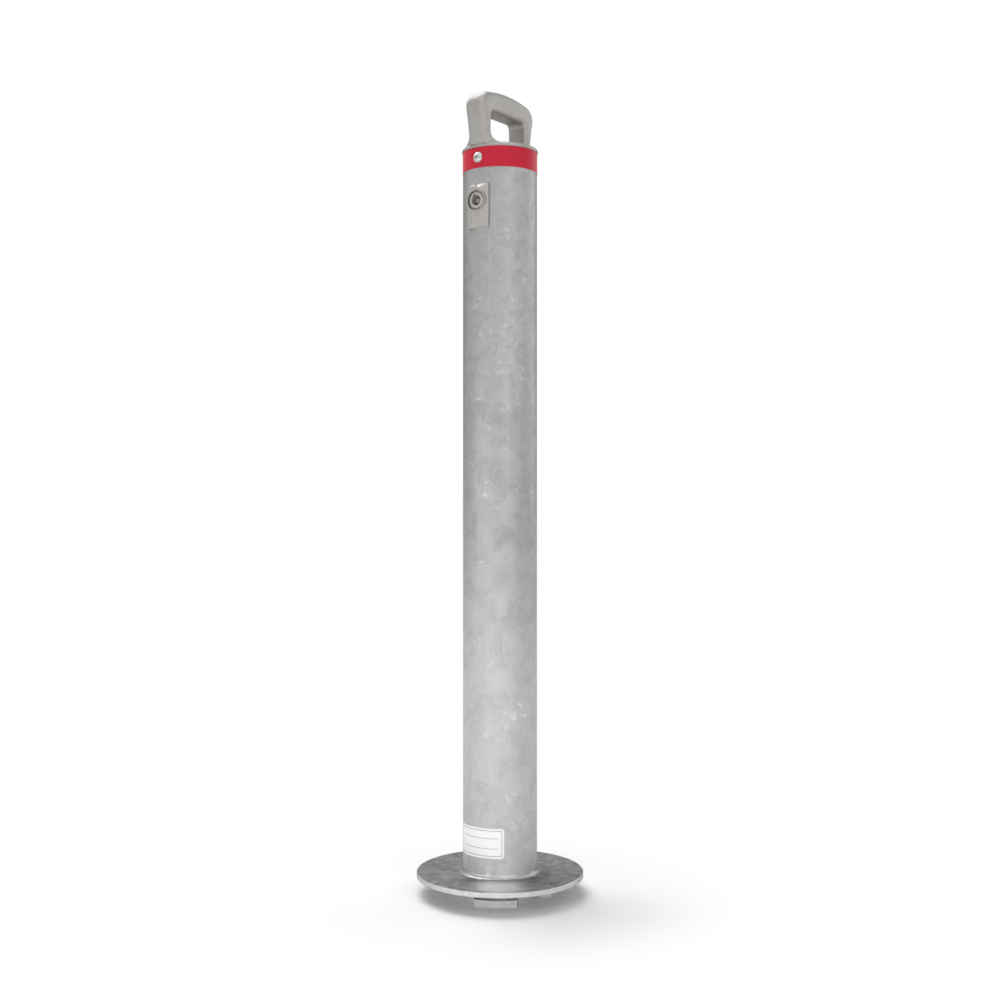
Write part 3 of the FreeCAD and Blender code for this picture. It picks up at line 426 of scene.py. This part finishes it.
def handle_outlines():
    """The inner and the outer outline of the loop's half at +Y, as matched (y, z) points from below the
    rim's top to the grip's middle. Inside, an upright leg turns by an arc into the level gap top. Outside,
    a leg that leans out from the rim turns by the shoulder's arc into the crown, a wide arc about a
    point far below. Both outlines have three stretches that start and end together."""
    bend = FINGER_GAP_TOP - FINGER_GAP_CORNER
    turn_in = FINGER_GAP_HALF - FINGER_GAP_CORNER
    heart = np.array([0, HANDLE_TOP - CROWN_RADIUS])
    end_height = heart[1] + math.sqrt(CROWN_RADIUS ** 2 - HANDLE_HALF_LENGTH ** 2)
    lean = np.array([HANDLE_HALF_LENGTH - RIM_RADIUS, end_height - TUBE_TOP])
    lean /= np.linalg.norm(lean)
    inward = np.array([-lean[1], lean[0]])
    offset = np.array([RIM_RADIUS, TUBE_TOP]) + inward * SHOULDER_ROUND - heart
    reach = -offset @ lean + math.sqrt((offset @ lean) ** 2 - offset @ offset
                                       + (CROWN_RADIUS - SHOULDER_ROUND) ** 2)
    middle = heart + offset + lean * reach
    leaves = math.atan2(-inward[1], -inward[0])
    joins = math.atan2(*(middle - heart)[::-1])

    def leg_at(height):
        return (RIM_RADIUS + lean[0] / lean[1] * (height - TUBE_TOP), height)

    foot = RIM_TOP - 0.001
    root = RIM_TOP + ROOT_ROUND
    shoulder = np.concatenate([straight(leg_at(bend), middle - inward * SHOULDER_ROUND, 2),
                               arc(middle, SHOULDER_ROUND, leaves, joins, 40),
                               arc(heart, CROWN_RADIUS, joins, math.acos(turn_in / CROWN_RADIUS), 20)])
    inner = [straight((FINGER_GAP_HALF, foot), (FINGER_GAP_HALF, root), 22, 1.6)[:-1],
             straight((FINGER_GAP_HALF, root), (FINGER_GAP_HALF, bend), 10)[:-1],
             arc((turn_in, bend), FINGER_GAP_CORNER, 0, math.pi / 2, 26)[:-1],
             straight((turn_in, FINGER_GAP_TOP), (0, FINGER_GAP_TOP), 16)]
    outer = [straight(leg_at(foot), leg_at(root), 22, 1.6)[:-1],
             straight(leg_at(root), leg_at(bend), 10)[:-1],
             along(shoulder, 26)[:-1],
             arc(heart, CROWN_RADIUS, math.acos(turn_in / CROWN_RADIUS), math.pi / 2, 16)]
    return np.concatenate(inner), np.concatenate(outer)


def handle_loop():
    """The lifting loop. Its section is a rectangle across the loop, from the inner to the outer outline,
    with wide quarter rounds outside and smaller ones inside, which shrink where the loop is narrow. The
    section is carried from foot to foot. Near the rim it grows on every side by what a hollow quarter
    circle is wide at that height, but no further out than where the rim's edge rounds off."""
    inner, outer = handle_outlines()
    mirror = np.array([-1, 1])
    inner = np.concatenate([inner * mirror, inner[-2::-1]])
    outer = np.concatenate([outer * mirror, outer[-2::-1]])
    width = np.linalg.norm(outer - inner, axis=1)[:, None]
    across = (outer - inner) / width
    outer_round = np.minimum(OUTER_ROUND, OUTER_SHARE * width)
    inner_round = np.minimum(INNER_ROUND, INNER_SHARE * width)
    quarter = np.linspace(0, np.pi / 2, 12)[None, :]
    half = HANDLE_THICKNESS / 2

    def section(grow):
        """The section's x and its distance from the inner outline, grown outwards on every side."""
        sides, depths = [], []
        for side, outside, start in ((1, False, -1), (1, True, 0), (-1, True, 1), (-1, False, 2)):
            radius = (outer_round if outside else inner_round) + grow
            angle = quarter + start * np.pi / 2
            depth = (width + grow - radius) if outside else (radius - grow)
            sides.append(side * (half + grow - radius) + radius * np.cos(angle))
            depths.append(depth + radius * np.sin(angle))
        return np.concatenate(sides, axis=1), np.concatenate(depths, axis=1)

    def placed(sides, depths):
        """Section points in space."""
        flat = inner[:, None] + depths[..., None] * across[:, None]
        return np.concatenate([sides[..., None], flat], axis=-1)

    rise = np.clip(inner[:, 1] - RIM_TOP, 0, ROOT_ROUND)
    low = inner[:, 1] < RIM_TOP + ROOT_ROUND
    flare = np.where(low, ROOT_ROUND - np.sqrt(np.maximum(ROOT_ROUND ** 2 - (ROOT_ROUND - rise) ** 2, 0)), 0)
    plain = placed(*section(np.zeros_like(width)))
    grown = placed(*section(flare[:, None]))
    reach_plain = np.hypot(plain[..., 0], plain[..., 1])
    reach_grown = np.hypot(grown[..., 0], grown[..., 1])
    rim_flat = RIM_RADIUS - 0.6 * RIM_ROUND
    share = np.clip((rim_flat - reach_plain) / np.maximum(reach_grown - reach_plain, 1e-9), 0, 1)[..., None]
    return surface_piece("handle_loop", plain * (1 - share) + grown * share)


def cap_rim():
    """The cap's rim and the skirt inside the tube. An outline with a quarter round on its upper edge,
    dense where it bends, is turned about the tube's axis."""
    core = 0.030
    skirt_foot = TUBE_TOP - SKIRT_DEPTH
    edge = RIM_RADIUS - RIM_ROUND
    quarter = arc((edge, RIM_TOP - RIM_ROUND), RIM_ROUND, math.pi / 2, 0, 10)
    under = 0.0004
    outline = np.concatenate([
        [(core, RIM_TOP), (edge - 0.002, RIM_TOP)], quarter,
        [(RIM_RADIUS, TUBE_TOP + under), (RIM_RADIUS - under, TUBE_TOP), (SKIRT_RADIUS, TUBE_TOP),
         (SKIRT_RADIUS, skirt_foot), (SKIRT_BORE, skirt_foot), (SKIRT_BORE, TUBE_TOP), (core, TUBE_TOP)]])
    angle = np.linspace(0, 2 * np.pi, 240, endpoint=False)[None, :]
    out, up = outline[:, :1], outline[:, 1:]
    points = np.stack([out * np.cos(angle), out * np.sin(angle), up + 0 * angle], axis=-1)
    return surface_piece("cap_rim", points)


def cast_handle():
    """The cast cap: the loop and the rim joined as one piece."""
    cap = smooth(handle_loop())
    rim = smooth(cap_rim())
    bpy.ops.object.select_all(action="DESELECT")
    cap.select_set(True)
    rim.select_set(True)
    bpy.context.view_layer.objects.active = cap
    bpy.ops.object.join()
    cap.name = "cast_handle"
    cap.data.set_sharp_from_angle(angle=math.radians(40))
    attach(cap, "post")
    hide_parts("handle_cap")
    return cap


def weld_bead():
    """The fillet weld at the tube's foot. Its section is a hollow quarter circle between the tube and
    the flange, closed behind by two straight walls. Carried round the tube, the hollow gets shallow
    ripples that lag towards its edges, as a weld pool leaves them, and its toe wanders a little."""
    ripples, ripple_depth, lag = 118, 0.00007, 1.98
    hollowness = 0.93
    angle = np.linspace(0, 2 * np.pi, 720, endpoint=False)[:, None]
    share = np.linspace(0, 1, 15)[None, :]
    wander = 0.00018 * np.sin(9 * angle + 0.7) + 0.00012 * np.sin(23 * angle)
    leg = WELD_LEG + wander
    quarter = share * np.pi / 2
    ripple = ripple_depth * np.sin(ripples * angle + lag * (2 * share - 1) ** 2) * np.sin(np.pi * share)
    hollow = leg * hollowness + ripple
    out = TUBE_RADIUS + leg - hollow * np.cos(quarter) - (1 - hollowness) * leg * (1 - share)
    up = FLANGE_TOP + leg - hollow * np.sin(quarter) - (1 - hollowness) * leg * share
    sunk = 0.0001
    wall = np.full_like(angle, TUBE_RADIUS - sunk)
    floor = np.full_like(angle, FLANGE_TOP - sunk)
    out = np.concatenate([out, TUBE_RADIUS + leg, wall, wall], axis=1)
    up = np.concatenate([up, floor, floor, FLANGE_TOP + leg], axis=1)
    points = np.stack([out * np.cos(angle), out * np.sin(angle), up], axis=-1)
    bead = smooth(surface_piece("weld_bead", points, closed=True))
    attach(bead, "post")
    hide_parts("foot_weld_bead")
    return bead


def tape_wrap():
    """The red tape. A thin oblong section is carried once round the tube and on over its own start,
    where its radius steps up by its thickness."""
    low, high = 0.8621, 0.8863
    thickness, slack, chamfer = 0.00024, 0.00001, 0.00006
    start, overlap, ramp = math.radians(225), math.radians(16), 0.03
    turn = np.linspace(0, 2 * np.pi + overlap, 380)
    lift = np.clip((turn - 2 * np.pi + ramp) / ramp, 0, 1)
    lift = lift * lift * (3 - 2 * lift)
    inner = SKIN_RADIUS + (thickness + slack) * lift
    outer = inner + thickness
    section = [(inner, low), (outer - chamfer, low), (outer, low + chamfer), (outer, high - chamfer),
               (outer - chamfer, high), (inner, high)]
    azimuth = start + turn
    columns = [np.stack([radius * np.sin(azimuth), -radius * np.cos(azimuth), np.full_like(turn, height)],
                        axis=-1) for radius, height in section]
    tape = surface_piece("tape_wrap", np.stack(columns, axis=1))
    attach(tape, "post")
    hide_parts("reflective_band")
    return tape


def spring_wire():
    """The return spring. A round section is carried along a helix whose pitch eases to the wire's
    thickness at both ends, so that its end turns lie closed."""
    wire, coil = SPRING_WIRE_RADIUS, SPRING_COIL_RADIUS
    turns, end_turns = 9.0, 1.25
    axis_reach = 0.01495
    t = np.linspace(0, 1, 900)
    ends = end_turns / turns
    slow = 2 * wire * turns
    fast = (SPRING_LENGTH - 2 * wire - slow * 2 * ends) / (1 - 2 * ends)
    pace = np.where((t < ends) | (t > 1 - ends), slow, fast)
    ease = 30
    kernel = np.hanning(2 * ease + 1)
    pace = np.convolve(np.pad(pace, ease, mode="edge"), kernel / kernel.sum(), mode="valid")
    climb = np.concatenate([[0], np.cumsum((pace[1:] + pace[:-1]) / 2 * np.diff(t))])
    climb *= (SPRING_LENGTH - 2 * wire) / climb[-1]
    angle = 2 * np.pi * turns * t
    line = np.stack([coil * np.cos(angle), coil * np.sin(angle) - axis_reach,
                     SPRING_TOP - SPRING_LENGTH + wire + climb], axis=-1)
    ahead = np.gradient(line, axis=0)
    ahead /= np.linalg.norm(ahead, axis=1)[:, None]
    out = np.stack([np.cos(angle), np.sin(angle), np.zeros_like(angle)], axis=-1)
    up = np.cross(ahead, out)
    spin = np.linspace(0, 2 * np.pi, 12, endpoint=False)
    points = (line[:, None] + wire * (np.cos(spin)[None, :, None] * out[:, None]
                                      - np.sin(spin)[None, :, None] * up[:, None]))
    spring = smooth(surface_piece("spring_wire", points))
    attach(spring, "post")
    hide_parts("return_spring")
    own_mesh(spring)
    return spring


def background_share(tree):
    """1 for rays from the camera and for what gloss and clear materials show, or else 0."""
    path = tree.nodes.new("ShaderNodeLightPath")
    seen = path.outputs["Is Camera Ray"]
    for other in ("Is Glossy Ray", "Is Transmission Ray"):
        most = tree.nodes.new("ShaderNodeMath")
        most.operation = "MAXIMUM"
        tree.links.new(seen, most.inputs[0])
        tree.links.new(path.outputs[other], most.inputs[1])
        seen = most.outputs[0]
    return seen


def studio_floor():
    """A plain white floor. Near the post it is lit paint and keeps the shadow, and further out it
    turns into the plain white of the background."""
    paint_until, white_from = 0.13, 0.30
    bpy.ops.mesh.primitive_circle_add(vertices=96, radius=9, fill_type="NGON", location=(0, 0, 0))
    floor = bpy.context.object
    floor.name = "studio_floor"
    paint = Finish("studio_white")
    far = paint.step(paint.away_from(0, 0), paint_until, white_from)
    share = paint.sum("MULTIPLY", far, background_share(paint.tree))
    plain = paint.add("ShaderNodeBsdfDiffuse")
    plain.inputs["Color"].default_value = (0.95, 0.95, 0.95, 1)
    white = paint.add("ShaderNodeEmission")
    mixed = paint.add("ShaderNodeMixShader")
    paint.feed(mixed.inputs[0], share)
    paint.feed(mixed.inputs[1], plain.outputs[0])
    paint.feed(mixed.inputs[2], white.outputs[0])
    paint.feed(paint.tree.nodes["Material Output"].inputs["Surface"], mixed.outputs[0])
    floor.data.materials.append(paint.material)


def studio_world(level):
    """An even pale surround, seen as plain white."""
    world = bpy.data.worlds.new("studio")
    world.use_nodes = True
    bpy.context.scene.world = world
    tree = world.node_tree
    tree.nodes.clear()
    light = tree.nodes.new("ShaderNodeBackground")
    light.inputs["Color"].default_value = (level, level, level, 1)
    white = tree.nodes.new("ShaderNodeBackground")
    white.inputs["Color"].default_value = (1, 1, 1, 1)
    mixed = tree.nodes.new("ShaderNodeMixShader")
    tree.links.new(background_share(tree), mixed.inputs[0])
    tree.links.new(light.outputs[0], mixed.inputs[1])
    tree.links.new(white.outputs[0], mixed.inputs[2])
    output = tree.nodes.new("ShaderNodeOutputWorld")
    tree.links.new(mixed.outputs[0], output.inputs["Surface"])


def softbox(name, turn, height, away, width, tall, power, aim_height=0.45):
    """A soft area lamp, that many degrees round from the camera towards its right, at that height and
    distance from the post, which it is aimed at."""
    lamp = bpy.data.lights.new(name, "AREA")
    lamp.shape = "RECTANGLE"
    lamp.size, lamp.size_y = width, tall
    lamp.energy = power
    holder = bpy.data.objects.new(name, lamp)
    bpy.context.scene.collection.objects.link(holder)
    azimuth = CAMERA_TURN + math.radians(turn)
    place = np.array([away * math.sin(azimuth), -away * math.cos(azimuth), height])
    holder.location = place
    aim = np.array([0, 0, aim_height]) - place
    flat = math.hypot(aim[0], aim[1])
    holder.rotation_euler = (math.pi / 2 + math.atan2(aim[2], flat), 0, math.atan2(-aim[0], aim[1]))


def camera():
    """The level camera of the photograph's view."""
    data = bpy.data.cameras.new("view")
    data.lens = LENS_MM
    data.sensor_width = SENSOR_MM
    data.sensor_fit = "HORIZONTAL"
    holder = bpy.data.objects.new("view", data)
    bpy.context.scene.collection.objects.link(holder)
    holder.location = (CAMERA_DISTANCE * math.sin(CAMERA_TURN), -CAMERA_DISTANCE * math.cos(CAMERA_TURN),
                       CAMERA_HEIGHT)
    holder.rotation_euler = (math.pi / 2, 0, CAMERA_TURN)
    bpy.context.scene.camera = holder


# The post's lighter foot is painted light, and the flange's darker tops and pale patch are painted shade and
# a painted reflection.
zinc_post = galvanised("galvanised_tube", 0.345, contrast=1.25, painted_foot_light=1.45)
zinc_foot = galvanised("galvanised_foot", 0.55, contrast=1.3, streaks=0.0, tint=0.1, painted_shade_and_reflection=1.0)
zinc_weld = galvanised("galvanised_weld", 0.36, streaks=0.0, gloss=0.18)
dress(zinc_post, "bollard_tube")
dress(zinc_foot, "base_flange", "spigot_ring", "bayonet_ring")
dress(zinc_weld, weld_bead())
dress(cast_metal("satin_casting", 0.35, 0.035), cast_handle())
dress(cast_metal("lock_casting", 0.41, 0.05, 0.36, 0.00006), "lock_escutcheon", "lock_housing")
dress(red_film(), tape_wrap())
dress(label_film(), "foot_label")
dress(bright_zinc(), "cap_screw_front", "cap_screw_rear", "escutcheon_screw", "cam_screw",
      "follower_nuts", "lock_nut", "saddle_washer")
dress(turned_metal("dark_barrel_steel", 0.28, 0.5, metallic=0.3, warmth=0.05), "key_barrel")
dress(turned_metal("drawn_steel", 0.50, 0.30), "lift_rod", "follower_plate", "lock_cam",
      "spring_collar", "collar_pin", "locking_plunger", "plunger_pin")
dress(turned_metal("spring_wire_steel", 0.30, 0.33), spring_wire())
dress(moulded_plastic(), "upper_guide", "lower_guide", "plunger_bush")

studio_floor()
studio_world(0.10)
softbox("back_left_top", turn=-140, height=2.35, away=1.15, width=1.7, tall=1.7, power=44, aim_height=0.6)
softbox("overhead", turn=180, height=2.6, away=0.2, width=1.0, tall=1.0, power=9, aim_height=0.3)
softbox("front_high", turn=0, height=2.6, away=1.9, width=3.2, tall=1.6, power=16, aim_height=0.3)
softbox("front_right", turn=40, height=1.3, away=2.2, width=2.6, tall=2.2, power=6)
softbox("right_back", turn=125, height=1.2, away=2.0, width=1.6, tall=2.0, power=11)
softbox("low_front", turn=0, height=0.2, away=1.3, width=2.6, tall=0.3, power=8, aim_height=0.1)
softbox("low_left", turn=-60, height=0.3, away=1.3, width=1.2, tall=0.4, power=3, aim_height=0.08)
camera()
bpy.context.scene.view_settings.view_transform = "Standard"
